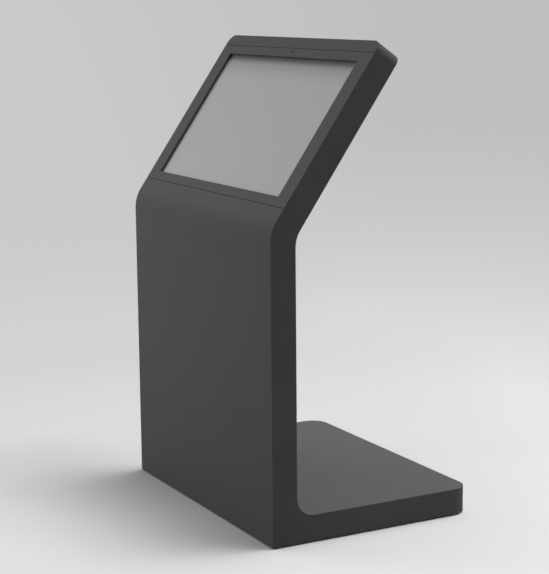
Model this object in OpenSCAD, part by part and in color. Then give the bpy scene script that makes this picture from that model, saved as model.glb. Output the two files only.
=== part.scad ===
// Floor-standing self-service kiosk with a sloping 32-inch touch screen.
// Folded sheet-steel ribbon of constant thickness: plinth, column and a head that leans back.
// Origin: on the floor, under the middle of the whole kiosk. X to the right, Y to the rear, Z up.
// The shell itself is drawn from the column's front face and its own lower edge.

/* [Body] */
// Width of the whole kiosk
body_w = 815; // [780:1:900]
// Thickness of plinth, column and head
body_t = 70; // [66:1:90]
// Depth of the plinth from front to rear
base_d = 600; // [540:5:700]
// Height of the front bend above the shell's lower edge
bend_h = 804; // [780:1:860]
// Lean of the head from the vertical, in degrees
tilt = 35; // [30:1:40]
// Radius of the front bend
bend_r = 93; // [60:1:120]
// Radius of the rear bend
rear_bend_r = 73; // [50:1:90]
// Radius of the fillet between plinth and column
fillet_r = 50; // [30:1:60]
// Radius of the plinth's rear corners, seen from above
base_corner_r = 50; // [30:1:70]
// Radius of the head's top corners, seen from the front
head_corner_r = 28; // [20:1:30]
// Thickness of the steel sheet
sheet_t = 2; // [1.5:0.1:2.2]
// Width of the seams between outer panels
seam = 1.5; // [1:0.1:2.5]

/* [Screen] */
// Height of the screen window along the slope
window_h = 397; // [340:1:460]
// Width of the display frame on each side of the window
frame_side = 57.5; // [50:0.5:70]
// Width of the display frame below the window
frame_below = 27; // [24:0.5:40]
// Width of the display frame above the window
frame_above = 26.5; // [25:0.5:40]
// Distance from the front bend to the lower seam of the display frame, along the slope
frame_low = 67; // [60:0.5:90]
// Length of the head's top cap beyond the upper seam
cap_l = 34.5; // [32:0.5:50]
// Depth of the glass below the display frame's face
glass_recess = 7.5; // [6:0.1:10]
// Thickness of the touch glass
glass_t = 4; // [3:0.1:6]
// Width by which the glass passes the window on each side
glass_lap = 8; // [5:0.5:9]
// Thickness of the display module
display_t = 24; // [18:0.5:26]
// Thickness of the foam gasket under the window edge
gasket_t = 1; // [0.5:0.1:1.5]

/* [Service door] */
// Width of the column's rear beside the door opening
door_side = 147.5; // [135:0.5:180]
// Height of the door opening
door_h = 500; // [420:5:520]
// Height of the door opening's lower edge above the shell's lower edge
door_low = 170; // [150:1:190]
// Depth of the door's folded edges
door_fold = 12; // [11:0.5:14]
// Radius of the pivot pins
pin_r = 3; // [2.5:0.1:4]
// Distance of the pivot from the door's hinge edge
pivot_in = 14; // [12:0.5:18]
// Depth of the pivot below the door's face
pivot_depth = 6; // [5:0.5:7]

/* [Base] */
// Gap between the floor and the shell's lower edge
foot_gap = 3; // [2:0.5:5]
// Thickness of the base plate
plate_t = 5; // [4:0.5:8]
// Height of the base plate's underside above the shell's lower edge
plate_low = 12; // [11:0.5:15]
// Radius of the levelling feet
foot_r = 20; // [15:1:25]
// Radius of the levelling feet's threaded studs
stud_r = 5; // [4:0.5:6]
// Distance of the feet from the edges of the shell
foot_inset = 45; // [42:1:46]
// Radius of the floor anchor holes
anchor_r = 6.5; // [5:0.5:8]
// Spacing of the anchor holes across the width
anchor_w = 500; // [460:5:560]
// Spacing of the anchor holes along the depth
anchor_d = 360; // [300:5:400]

/* [Equipment] */
// Width of the inner uprights
upright_w = 30; // [25:1:40]
// Depth of the inner uprights
upright_d = 24; // [20:1:24]
// Distance of the uprights' middle from the sides of the kiosk
upright_in = 77.5; // [65:0.5:80]
// Width of the computer
pc_w = 190; // [150:1:200]
// Height of the computer
pc_h = 180; // [150:1:190]
// Thickness of the computer
pc_t = 36; // [28:1:37]
// Width of the power supply
psu_w = 110; // [90:1:120]
// Height of the power supply
psu_h = 200; // [160:1:210]
// Thickness of the power supply
psu_t = 32; // [25:1:36]
// Outer size of the fans
fan_size = 80; // [70:1:90]
// Thickness of the fans
fan_t = 20; // [15:1:22]
// Radius of the camera aperture
camera_r = 3.5; // [2:0.1:3.8]

/* [Hidden] */

$fn = 64;
// Overshoot of cutting bodies and overlap of fused outlines, so that neither ends on a face
over = 1;
// Clearance round pieces that are fitted into the shell
fit = 1;
// Clearance between a turning pin and its hole
run_fit = 0.05;
// Clearance of pieces that lie close without touching
near_fit = 0.3;
inner_w = body_w - 2 * sheet_t;
window_w = body_w - 2 * frame_side;
window_low = frame_low + frame_below;
frame_high = window_low + window_h + frame_above;
head_l = frame_high + cap_l;
door_w = body_w - 2 * door_side;
upright_x = body_w / 2 - upright_in;
rear_in = body_t - sheet_t;
steel = "dimgray";

// Bend geometry: every corner of the ribbon lies on the line that halves the bend's angle
function bend_z(depth) = bend_h - depth * tan(tilt / 2);
function bend_s(depth) = depth * tan(tilt / 2);
rear_n = body_t + rear_bend_r;
// The plinth's rim starts where its rear corners do
rim_y = base_d - base_corner_r;

// Reach of the rocker switch beyond the plinth's rear face
switch_out = 4;
// Frames: the shell stands on its feet, and the head's own frame has Z up its slope and Y inwards
middle_y = (base_d + switch_out) / 2;
module standing() translate([0, -middle_y, foot_gap]) children();
module at_head() translate([0, 0, bend_h]) rotate([-tilt, 0, 0]) children();

// Extrusions: a section drawn as (across, depth) up the column or the head, and a side view,
// drawn as (rear, up), along X
module up_column(z0, z1) translate([0, 0, z0]) linear_extrude(z1 - z0) children();
module up_head(s0, s1) at_head() up_column(s0, s1) children();
module across(w) translate([-w / 2, 0, 0]) rotate([90, 0, 90]) linear_extrude(w) children();

// Region between a corner and the arc that rounds it off
module corner_web(corner, from, to, centre, r) difference() {
    polygon([corner, from, centre, to]);
    translate(centre) circle(r);
}

function head_point(depth, s) = [depth * cos(tilt) + s * sin(tilt),
    bend_h - depth * sin(tilt) + s * cos(tilt)];
// Web of the ribbon's bend at a given depth, for an arc whose centre lies at depth n
module bend_web(depth, n, r) corner_web([depth, bend_z(depth)], [depth, bend_z(n)],
    head_point(depth, bend_s(n)), [n, bend_z(n)], r);

// Side view of a layer of the ribbon between two depths, from height z0 to s1 on the slope
module layer(d0, d1, z0, s1, n) difference() {
    union() {
        polygon([[d0, z0], [d1, z0], [d1, bend_z(d1)], head_point(d1, s1), head_point(d0, s1),
            [d0, bend_z(d0)]]);
        bend_web(d1 - over, n, n - d1);
    }
    bend_web(d0 - over, n, n - d0);
}

// Side view of the side panels, set in by the sheet that covers their edges
head_end = frame_high + seam / 2;
plinth_top_y = body_t + fillet_r;
module fillet_web(low, r) corner_web([low, low], [plinth_top_y, low], [low, plinth_top_y],
    [plinth_top_y, plinth_top_y], r);
module side_view(inset) {
    far = body_t - inset;
    difference() {
        union() {
            polygon([[inset, 0], [rim_y, 0], [rim_y, far], [far, far], [far, bend_z(far)],
                head_point(far, head_end), head_point(inset, head_end), [inset, bend_z(inset)]]);
            bend_web(far - over, rear_n, rear_bend_r + inset);
            fillet_web(far - over, fillet_r + inset);
        }
        bend_web(inset - over, bend_r, bend_r - inset);
    }
}

// Front skin: column front, front bend and the strip up to the lower seam
skin_end = frame_low - seam / 2;
return_d = 12;
module front_skin() color(steel) standing() {
    across(body_w) layer(0, sheet_t, 0, skin_end, bend_r);
    up_head(skin_end - sheet_t, skin_end) translate([-inner_w / 2 + fit, sheet_t / 2])
        square([inner_w - 2 * fit, return_d - sheet_t / 2]);
}

// Side panels: flat plates with the flanges that carry the frame, the rear cover and the plate
tab_w = 22;
tab_len = 40;
tab_x = (inner_w - tab_w) / 2;
tab_at = [window_low + 40, window_low + window_h / 2, window_low + window_h - 40];
flange_w = 30;
module side_panel(side) color(steel) standing() {
    translate([side * (body_w - sheet_t) / 2, 0, 0]) across(sheet_t) side_view(sheet_t);
    for (s = tab_at) at_head() side_tab(side, sheet_t, s, tab_len, stud_hole_r);
    for (s = cover_screw_s) at_head() side_tab(side, rear_in - sheet_t, s, tab_len / 2, screw_r + fit / 4);
    translate([side * (inner_w + sheet_t - flange_w) / 2 - flange_w / 2, 2 * return_d, plate_low + plate_t])
        cube([flange_w, rim_y - 3 * return_d, sheet_t]);
}
// Tab welded to the inside of a side panel, with a hole for a stud or a screw
module side_tab(side, depth, s, len, r) translate([side * tab_x, depth, s]) difference() {
    translate([(side * sheet_t / 2 - tab_w - sheet_t / 2) / 2, 0, -len / 2])
        cube([tab_w + sheet_t / 2, sheet_t, len]);
    translate([0, -over, 0]) rotate([-90, 0, 0]) cylinder(r = r, h = sheet_t + 2 * over);
}
module left_side_panel() side_panel(-1);
module right_side_panel() side_panel(1);

// Display frame: face plate, folded window edge, folded upper and lower edges, weld studs
fold_d = glass_recess - gasket_t;
weld_stud_r = 2;
weld_stud_l = 9;
stud_hole_r = weld_stud_r + fit / 2;
camera_s = (window_low + window_h + glass_lap + frame_high - seam / 2 - sheet_t) / 2;
frame_s0 = frame_low + seam / 2;
frame_s1 = frame_high - seam / 2;
module display_frame() color(steel) standing() {
    difference() {
        up_head(frame_s0, frame_s1) translate([-body_w / 2, 0]) square([body_w, sheet_t]);
        up_head(window_low, window_low + window_h) translate([-window_w / 2, -over])
            square([window_w, 2 * return_d]);
        at_head() translate([0, -over, camera_s]) rotate([-90, 0, 0]) cylinder(r = camera_r, h = return_d);
    }
    at_head() translate([0, sheet_t / 2, window_low + window_h / 2]) rotate([-90, 0, 0])
        linear_extrude(fold_d - sheet_t / 2) difference() {
            square([window_w + 2 * sheet_t, window_h + 2 * sheet_t], center = true);
            square([window_w, window_h], center = true);
        }
    for (s = [frame_s0, frame_s1 - sheet_t]) up_head(s, s + sheet_t)
        translate([-inner_w / 2 + fit, sheet_t / 2]) square([inner_w - 2 * fit, return_d - sheet_t / 2]);
    for (side = [-1, 1], s = tab_at) at_head() translate([side * tab_x, sheet_t / 2, s])
        rotate([-90, 0, 0]) cylinder(r = weld_stud_r, h = weld_stud_l);
}
module frame_nuts() color("silver") standing()
    for (side = [-1, 1], s = tab_at) at_head()
        translate([side * tab_x, 2 * sheet_t, s]) rotate([-90, 0, 0]) difference() {
            cylinder(r = 2 * weld_stud_r, h = 1.6 * weld_stud_r, $fn = 6);
            translate([0, 0, -over]) cylinder(r = weld_stud_r + run_fit, h = 5 * weld_stud_r);
        }

// Outline, drawn as (across, along), of a panel of width w and corner radius r at its far end
module end_outline(w, low, far, r) {
    translate([-w / 2, low]) square([w, far - r - low]);
    translate([-w / 2 + r, low]) square([w - 2 * r, far - low]);
    for (side = [-1, 1]) translate([side * (w / 2 - r), far - r]) circle(r);
}

// Head top cap: front strip, end wall with rounded corners, rear strip
module in_head_plane(d0, d1) at_head() translate([0, d1, 0]) rotate([90, 0, 0])
    linear_extrude(d1 - d0) children();
module head_top_cap() color(steel) standing() difference() {
    in_head_plane(0, body_t) end_outline(body_w, head_end, head_l, head_corner_r);
    in_head_plane(sheet_t, rear_in) end_outline(inner_w, head_end - 2 * head_corner_r, head_l - sheet_t,
        head_corner_r - sheet_t);
    in_head_plane(-over, body_t + over) translate([-body_w, 0]) square([2 * body_w, head_end]);
}

// Base cover: top of the plinth with its rounded rear rim, the fillet and the strip up to the panel
panel_low = door_low - 30;
module base_cover() color(steel) standing() {
    translate([0, 0, rear_in]) linear_extrude(sheet_t)
        end_outline(body_w, plinth_top_y, base_d, base_corner_r);
    difference() {
        linear_extrude(body_t - sheet_t / 2) difference() {
            end_outline(body_w, rim_y - over, base_d, base_corner_r);
            end_outline(inner_w, plinth_top_y, base_d - sheet_t, base_corner_r - sheet_t);
            translate([-body_w, 0]) square([2 * body_w, rim_y]);
        }
        for (cut = inlet_cuts) translate([cut[0], base_d, inlet_z])
            cube([cut[1], 6 * sheet_t, cut[2]], center = true);
    }
    across(body_w) difference() {
        union() {
            polygon([[plinth_top_y + return_d, body_t], [body_t, body_t],
                [body_t, panel_low - seam / 2], [rear_in, panel_low - seam / 2],
                [rear_in, rear_in], [plinth_top_y + return_d, rear_in]]);
            fillet_web(body_t - over, fillet_r);
        }
        fillet_web(rear_in - over, fillet_r + sheet_t);
    }
}

// Base plate with levelling-foot holes, floor anchor holes and a cable hole
foot_x = body_w / 2 - foot_inset;
foot_y = [foot_inset, base_d - foot_inset];
anchor_y = base_d / 2;
floor_cable_r = 20;
module base_plate() color("gray") standing() difference() {
    translate([0, 0, plate_low]) linear_extrude(plate_t)
        end_outline(inner_w - 2 * fit, sheet_t + fit, base_d - sheet_t - fit, base_corner_r - sheet_t - fit);
    for (x = [-foot_x, foot_x], y = foot_y) translate([x, y, 0]) cylinder(r = stud_r + fit / 2, h = body_t);
    for (x = [-1, 1], y = [-1, 1]) translate([x * anchor_w / 2, anchor_y + y * anchor_d / 2, 0])
        cylinder(r = anchor_r, h = body_t);
    translate([0, anchor_y, 0]) cylinder(r = floor_cable_r, h = body_t);
}
// Levelling feet: pad, spanner hexagon and stud, screwed in up to the plate
pad_h = 8;
hex_h = foot_gap + plate_low - pad_h;
stud_l = 30;
module levelling_foot(x, y) color("black") translate([x, y - middle_y, 0]) {
    cylinder(r = foot_r, h = pad_h);
    translate([0, 0, pad_h]) cylinder(r = 1.7 * stud_r, h = hex_h, $fn = 6);
    translate([0, 0, pad_h + hex_h]) cylinder(r = stud_r, h = stud_l);
}
module front_left_foot() levelling_foot(-foot_x, foot_y[0]);
module front_right_foot() levelling_foot(foot_x, foot_y[0]);
module rear_left_foot() levelling_foot(-foot_x, foot_y[1]);
module rear_right_foot() levelling_foot(foot_x, foot_y[1]);
module foot_nuts() color("silver") standing()
    for (x = [-foot_x, foot_x], y = foot_y) translate([x, y, plate_low + plate_t]) difference() {
        cylinder(r = 1.9 * stud_r, h = 1.6 * stud_r, $fn = 6);
        translate([0, 0, -over]) cylinder(r = stud_r + run_fit, h = 4 * stud_r);
    }

// Column rear panel: door frame, rear bend and the strip up to the rear cover
cover_low = bend_s(rear_n) + 30;
jamb_d = 18;
lip_w = 14;
door_z = door_low + door_h / 2;
pivot_x = -door_w / 2 + seam + pivot_in;
pivot_y = body_t - pivot_depth;
// The stop lip starts where the hinge edge of the opening door has swung past
lip_x0 = pivot_x + norm([pivot_in, door_fold - pivot_depth]) + fit;
module column_rear_panel() color(steel) standing() {
    difference() {
        across(body_w) layer(rear_in, body_t, panel_low + seam / 2, cover_low - seam / 2, rear_n);
        translate([-door_w / 2, rear_in - over, door_low]) cube([door_w, 4 * sheet_t, door_h]);
    }
    difference() {
        translate([0, body_t - jamb_d, door_z]) rotate([-90, 0, 0])
            linear_extrude(jamb_d - sheet_t / 2) difference() {
                square([door_w + 2 * sheet_t, door_h + 2 * sheet_t], center = true);
                square([door_w, door_h], center = true);
            }
        translate([pivot_x, pivot_y, 0]) cylinder(r = pin_r + run_fit, h = 2 * bend_h);
    }
    translate([0, body_t - jamb_d, 0]) rotate([90, 0, 0]) translate([0, 0, -sheet_t])
        linear_extrude(sheet_t) lip_outline(door_w + 2 * sheet_t, door_h + 2 * sheet_t);
}
// Stop lip on three sides of the door opening, away from the pivots
module lip_outline(w, h) difference() {
    translate([lip_x0, door_z - h / 2]) square([w / 2 - lip_x0, h]);
    translate([-door_w, door_z - door_h / 2 + lip_w])
        square([1.5 * door_w - lip_w, door_h - 2 * lip_w]);
}

// Foam seal on the stop lip
seal_y = body_t - jamb_d + sheet_t;
seal_t = jamb_d - sheet_t - door_fold - near_fit;
module door_seal() color("black") standing() translate([0, seal_y, 0])
    rotate([90, 0, 0]) translate([0, 0, -seal_t]) linear_extrude(seal_t)
        lip_outline(door_w, door_h);

// Service door: face with slots and folded edges that hang on two pivot pins
leaf_w = door_w - 2 * seam;
leaf_h = door_h - 2 * seam;
slot_w = 60;
slot_h = 5;
slot_pitch = 12;
slot_rows = 5;
slot_cols = 5;
lock_x = door_w / 2 - 32;
lock_r = 9.5;
module slot(w, h, deep) rotate([90, 0, 0]) translate([0, 0, -deep / 2]) linear_extrude(deep) {
    square([w - h, h], center = true);
    for (side = [-1, 1]) translate([side * (w - h) / 2, 0]) circle(h / 2);
}
module slot_field(cols, rows) for (i = [0:cols - 1], j = [0:rows - 1])
    translate([(i - (cols - 1) / 2) * (slot_w + slot_pitch), 0, (j - (rows - 1) / 2) * slot_pitch])
        slot(slot_w, slot_h, 6 * sheet_t);
slot_at = [door_low + 70, door_low + door_h - 70];
module service_door() color(steel) standing() difference() {
    translate([0, body_t - door_fold, door_z]) rotate([-90, 0, 0]) linear_extrude(door_fold)
        square([leaf_w, leaf_h], center = true);
    translate([0, body_t - door_fold - over, door_z]) rotate([-90, 0, 0])
        linear_extrude(door_fold + over - sheet_t)
            square([leaf_w - 2 * sheet_t, leaf_h - 2 * sheet_t], center = true);
    translate([pivot_x, pivot_y, 0]) cylinder(r = pin_r + run_fit, h = 2 * bend_h);
    translate([lock_x, 0, door_z]) rotate([-90, 0, 0]) cylinder(r = lock_r + run_fit, h = 2 * body_t);
    for (z = slot_at) translate([0, body_t, z]) slot_field(slot_cols, slot_rows);
}
pin_in = 10;
module door_pivot_pins() color("silver") standing()
    for (side = [-1, 1]) translate([pivot_x, pivot_y, door_z + side * (door_h / 2)])
        mirror([0, 0, side > 0 ? 1 : 0]) translate([0, 0, -2 * sheet_t]) {
            cylinder(r = pin_r, h = 2 * sheet_t + pin_in);
            translate([0, 0, 2 * sheet_t]) cylinder(r = 1.6 * pin_r, h = seam - near_fit);
            translate([0, 0, -sheet_t + near_fit])
                cylinder(r = pivot_depth - sheet_t - near_fit, h = sheet_t);
        }

// Cam lock: flanged housing fixed in the door, barrel with key slot and cam that turn in it
plug_r = 5.5;
lock_in = jamb_d + 2;
flange_t = 2;
cam_l = 32;
cam_w = 12;
cam_t = 3;
module lock_housing() color("silver") standing() translate([lock_x, body_t, door_z])
    rotate([90, 0, 0]) difference() {
        union() {
            translate([0, 0, -flange_t]) cylinder(r = lock_r + 2, h = flange_t);
            cylinder(r = lock_r, h = lock_in);
            translate([0, 0, sheet_t]) cylinder(r = 1.4 * lock_r, h = 2 * sheet_t, $fn = 6);
        }
        translate([0, 0, -flange_t - over]) cylinder(r = plug_r + run_fit, h = 2 * lock_in);
    }
module lock_barrel() color("silver") standing() translate([lock_x, body_t, door_z])
    rotate([90, 0, 0]) {
        difference() {
            translate([0, 0, -flange_t]) cylinder(r = plug_r, h = flange_t + lock_in + near_fit + cam_t);
            translate([0, 0, -flange_t]) cube([1.2, plug_r, plug_r], center = true);
        }
        translate([0, 0, lock_in + near_fit]) linear_extrude(cam_t) {
            circle(lock_r);
            translate([-cam_w / 2, 0]) square([cam_w, cam_l]);
        }
        translate([0, 0, lock_in + near_fit + cam_t]) cylinder(r = plug_r, h = cam_t, $fn = 6);
    }

// Rear cover of the head, with slots for fans and speakers
cover_s0 = cover_low + seam / 2;
cover_s1 = head_end - seam;
cover_screw_s = [cover_s0 + 20, (cover_s0 + cover_s1) / 2, cover_s1 - 20];
screw_r = 2;
fan_in = 180;
fan_x = upright_x - fan_in;
fan_s = cover_s1 - 85;
speaker_in = 130;
speaker_x = upright_x - speaker_in;
speaker_s = cover_s0 + 75;
vent_rows = 6;
module head_rear_cover() color(steel) standing() difference() {
    up_head(cover_s0, cover_s1) translate([-body_w / 2, rear_in]) square([body_w, sheet_t]);
    at_head() for (side = [-1, 1]) {
        for (s = cover_screw_s) translate([side * tab_x, 0, s]) rotate([-90, 0, 0]) {
            cylinder(r = screw_r + fit / 4, h = 2 * body_t);
            translate([0, 0, body_t - screw_r])
                cylinder(r1 = screw_r + fit / 4, r2 = 2 * screw_r + fit / 4, h = screw_r);
        }
        translate([side * fan_x, body_t, fan_s]) slot_field(1, vent_rows);
        translate([side * speaker_x, body_t, speaker_s]) slot_field(1, 3);
    }
}
module cover_screws() color("silver") standing() at_head()
    for (side = [-1, 1], s = cover_screw_s)
        translate([side * tab_x, body_t, s]) rotate([90, 0, 0]) {
            cylinder(r1 = 2 * screw_r, r2 = screw_r, h = screw_r);
            cylinder(r = screw_r, h = 4 * screw_r);
        }

// Inner uprights: square tubes from the base plate to the top of the head, with foot plates
upright_y = rear_in - upright_d;
upright_low = plate_low + plate_t;
foot_plate = [60, 50, 4];
function plate_x(x) = x + sign(x) * (upright_w - foot_plate[0]) / 2;
upright_top = cover_s1 - 20;
module tube(w, wall) across(w) layer(upright_y + wall, rear_in - wall, upright_low - wall,
    upright_top + wall, rear_n);
module upright(x) color("gray") standing() {
    translate([x, 0, 0]) difference() {
        tube(upright_w, 0);
        tube(upright_w - 2 * sheet_t, sheet_t);
    }
    difference() {
        translate([plate_x(x) - foot_plate[0] / 2, rear_in - foot_plate[1], upright_low])
            cube(foot_plate);
        translate([plate_x(x), 0, 0]) for (bx = bolt_x) translate([bx, bolt_y, 0])
            cylinder(r = bolt_r + run_fit, h = body_t);
        translate([x - upright_w / 2 + sheet_t, upright_y + sheet_t, 0])
            cube([upright_w - 2 * sheet_t, upright_d - 2 * sheet_t, body_t]);
    }
}
module left_upright() upright(-upright_x);
module right_upright() upright(upright_x);
bolt_r = 3;
bolt_x = [-foot_plate[0] / 2 + 10, foot_plate[0] / 2 - 10];
bolt_y = rear_in - foot_plate[1] + 12;
module upright_bolts() color("silver") standing()
    for (x = [-upright_x, upright_x], bx = bolt_x)
        translate([plate_x(x) + bx, bolt_y, upright_low + foot_plate[2]]) {
            cylinder(r = 1.8 * bolt_r, h = 1.2 * bolt_r, $fn = 6);
            translate([0, 0, -foot_plate[2]]) cylinder(r = bolt_r, h = foot_plate[2]);
        }

// Screen stack, drawn in the head's frame
screen_s = window_low + window_h / 2;
glass_w = window_w + 2 * glass_lap;
glass_h = window_h + 2 * glass_lap;
module slab(w, h, y0, t) at_head() translate([-w / 2, y0, screen_s - h / 2]) cube([w, t, h]);
module glass_gasket() color("black") standing() difference() {
    slab(glass_w, glass_h, fold_d, gasket_t);
    slab(window_w + fit, window_h + fit, fold_d - over, gasket_t + 2 * over);
}
module touch_glass() color("darkgray") standing() slab(glass_w, glass_h, glass_recess, glass_t);
bezel_y = glass_recess + glass_t;
bezel_t = 2;
bezel_lap = 9;
module display_bezel() color("silver") standing() difference() {
    slab(glass_w, glass_h, bezel_y, display_t / 2);
    slab(glass_w - 2 * bezel_lap, glass_h - 2 * bezel_lap, bezel_y - over, bezel_t + 2 * over);
    slab(glass_w - 2 * bezel_t, glass_h - 2 * bezel_t, bezel_y + bezel_t, display_t);
}
cell_t = 4;
module display_cell() color("gray") standing()
    slab(glass_w - 3 * bezel_t, glass_h - 3 * bezel_t, bezel_y + bezel_t, cell_t);
chassis_y = bezel_y + bezel_t + cell_t;
chassis_t = display_t - bezel_t - cell_t;
chassis_wall = 1.5;
module display_chassis() color("silver") standing() difference() {
    slab(glass_w - 3 * bezel_t, glass_h - 3 * bezel_t, chassis_y, chassis_t);
    slab(glass_w - 3 * bezel_t - 2 * chassis_wall, glass_h - 3 * bezel_t - 2 * chassis_wall,
        chassis_y - over, chassis_t - chassis_wall + over);
}

// Display rails: hat-shaped cross bars between the display and the uprights
display_back = chassis_y + chassis_t;
rail_d = upright_y - display_back;
rail_h = 40;
rail_w = 2 * upright_x + upright_w;
rail_s = [screen_s - glass_h / 4 - rail_h, screen_s + glass_h / 4 + rail_h];
module rail(s) color("gray") standing() at_head() translate([0, display_back, s]) difference() {
    translate([-rail_w / 2, 0, -rail_h / 2]) cube([rail_w, rail_d, rail_h]);
    translate([-rail_w / 2 - over, -over, -rail_h / 2 + rail_h / 4])
        cube([rail_w + 2 * over, rail_d + over - sheet_t, rail_h / 2]);
    for (x = [-upright_x, upright_x]) translate([x, 0, 0]) rotate([-90, 0, 0])
        cylinder(r = screw_r + run_fit, h = body_t);
}
module lower_display_rail() rail(rail_s[0]);
module upper_display_rail() rail(rail_s[1]);
module rail_screws() color("silver") standing() at_head()
    for (x = [-upright_x, upright_x], s = rail_s) translate([x, upright_y - sheet_t, s])
        rotate([-90, 0, 0]) {
            cylinder(r = screw_r, h = sheet_t);
            mirror([0, 0, 1]) cylinder(r = 1.8 * screw_r, h = rail_d - sheet_t - fit);
        }

// Boards: driver board on the chassis, touch controller below it
board_t = 1.6;
board_gap = 4;
board_post_r = 2.5;
board_post_in = 5;
part_h = 3 * board_t;
plug = [14, 6, 9];
driver_size = [150, 90];
touch_size = [60, 40];
touch_x = 180;
module board(x, s, w, h, y0) color("darkgreen") standing() at_head() translate([x, y0, s]) {
    for (a = [-1, 1], b = [-1, 1]) 
        translate([a * (w / 2 - board_post_in), 0, b * (h / 2 - board_post_in)])
            rotate([-90, 0, 0]) cylinder(r = board_post_r, h = board_gap);
    translate([-w / 2, board_gap, -h / 2]) cube([w, board_t, h]);
    for (i = [-1, 0, 1]) translate([i * w / 4 - w / 14, board_gap + board_t, -h / 5])
        cube([w / 7, part_h, h / 4]);
    translate([-w / 3, board_gap + board_t, h / 4]) cube([w * 2 / 3, part_h, h / 8]);
    translate([-plug[0] / 2, board_gap + board_t, -h / 2]) cube(plug);
}
module driver_board() board(0, screen_s, driver_size[0], driver_size[1], display_back);
module touch_controller() board(touch_x, screen_s, touch_size[0], touch_size[1], display_back);

// Camera behind its aperture in the display frame
camera_h = 8;
camera_window_t = 1;
camera_board = [60, 2, camera_h];
lens_l = 3;
camera_peg_x = 24;
camera_peg_r = 2;
module camera_window() color("black") standing() at_head() translate([0, sheet_t, camera_s])
    rotate([-90, 0, 0]) cylinder(r = camera_h / 2, h = camera_window_t);
module camera_module() color("black") standing() at_head()
    translate([0, sheet_t + camera_window_t, camera_s]) {
        rotate([-90, 0, 0]) cylinder(r = camera_r - run_fit, h = lens_l);
        translate([-camera_board[0] / 2, lens_l, -camera_board[2] / 2]) cube(camera_board);
        for (side = [-1, 1]) translate([side * camera_peg_x, 0, 0]) rotate([-90, 0, 0]) {
            cylinder(r = 1.5 * camera_peg_r, h = lens_l);
            translate([0, 0, -camera_window_t]) cylinder(r = camera_peg_r, h = camera_window_t);
        }
    }

// Equipment tray: hat-shaped sheet between the uprights
tray_y = 10;
tray_low = door_low + 30;
tray_h = door_h - 70;
tray_w = 2 * upright_x - upright_w - 2 * fit;
module equipment_tray() color("lightgray") standing() difference() {
    up_column(tray_low, tray_low + tray_h) {
        translate([-tray_w / 2, tray_y]) square([tray_w, sheet_t]);
        for (side = [-1, 1]) {
            translate([side * (tray_w - sheet_t) / 2 - sheet_t / 2, tray_y])
                square([sheet_t, upright_y - tray_y]);
            translate([side * upright_x - tray_lip / 2, upright_y - sheet_t]) square([tray_lip, sheet_t]);
        }
    }
    for (x = [-upright_x, upright_x], z = tray_screw_z) translate([x, 0, z]) rotate([-90, 0, 0])
        cylinder(r = screw_r + run_fit, h = body_t);
}
tray_lip = upright_w + 4 * fit;
tray_screw_z = [tray_low + 20, tray_low + tray_h - 20];
module tray_screws() color("silver") standing()
    for (x = [-upright_x, upright_x], z = tray_screw_z) translate([x, upright_y, z])
        rotate([90, 0, 0]) {
            cylinder(r = screw_r, h = sheet_t);
            translate([0, 0, sheet_t]) cylinder(r = 2 * screw_r, h = screw_r);
        }

// Computer with cooling ribs and its power button; power supply with a slotted case
kit_y = tray_y + sheet_t;
pc_x = -120;
pc_z = tray_low + tray_h / 2;
rib_n = 11;
rib_d = 8;
button_r = 4;
button_l = 3.5;
button_out = 1.5;
button_bore = 5;
button_x = pc_x + pc_w / 2 - 20;
button_y = kit_y + pc_t / 2;
module computer() color("dimgray") standing() difference() {
    translate([pc_x - pc_w / 2, kit_y, pc_z - pc_h / 2]) cube([pc_w, pc_t, pc_h]);
    for (i = [0:rib_n - 1])
        translate([pc_x - pc_w / 2 + (i + 0.75) * pc_w / (rib_n + 0.5), kit_y + pc_t - rib_d, pc_z - pc_h])
            cube([pc_w / (2 * rib_n), rib_d + over, 2 * pc_h]);
    translate([button_x, button_y, pc_z - pc_h / 2 - over])
        cylinder(r = button_r + near_fit, h = button_bore);
}
module power_button() color("silver") standing()
    translate([button_x, button_y, pc_z - pc_h / 2 - button_out]) cylinder(r = button_r, h = button_l);
psu_x = 140;
psu_z = pc_z;
psu_slot = [psu_w / 3, 3, 4];
psu_rows = 9;
module power_supply() color("silver") standing() difference() {
    translate([psu_x - psu_w / 2, kit_y, psu_z - psu_h / 2]) cube([psu_w, psu_t, psu_h]);
    for (i = [0:psu_rows - 1], j = [-1, 1])
        translate([psu_x + j * psu_w / 4 - psu_slot[0] / 2, kit_y + psu_t - psu_slot[1],
            psu_z + (i - (psu_rows - 1) / 2) * slot_pitch - psu_slot[2] / 2])
                cube([psu_slot[0], psu_slot[1] + over, psu_slot[2]]);
}

// Speakers and fans, carried by the rear cover
speaker_plate = [100, 50, 4];
basket_r = [22, 15];
basket_l = 12;
magnet_r = 14;
speaker_l = 18;
cone_r = [20, 8];
cone_l = 7;
module speaker(side) color("black") standing() at_head()
    translate([side * speaker_x, rear_in, speaker_s]) rotate([90, 0, 0]) difference() {
        union() {
            translate([-speaker_plate[0] / 2, -speaker_plate[1] / 2, 0]) cube(speaker_plate);
            cylinder(r1 = basket_r[0], r2 = basket_r[1], h = basket_l);
            cylinder(r = magnet_r, h = speaker_l);
        }
        translate([0, 0, -over]) cylinder(r1 = cone_r[0], r2 = cone_r[1], h = cone_l + over);
    }
module left_speaker() speaker(-1);
module right_speaker() speaker(1);
hub_r = 16;
fan_wall = 2;
fan_hole_in = 4;
fan_hole_r = 1.8;
strut_w = 4;
strut_t = 3;
fan_shaft_r = 1.5;
fan_shaft_low = 5;
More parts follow.
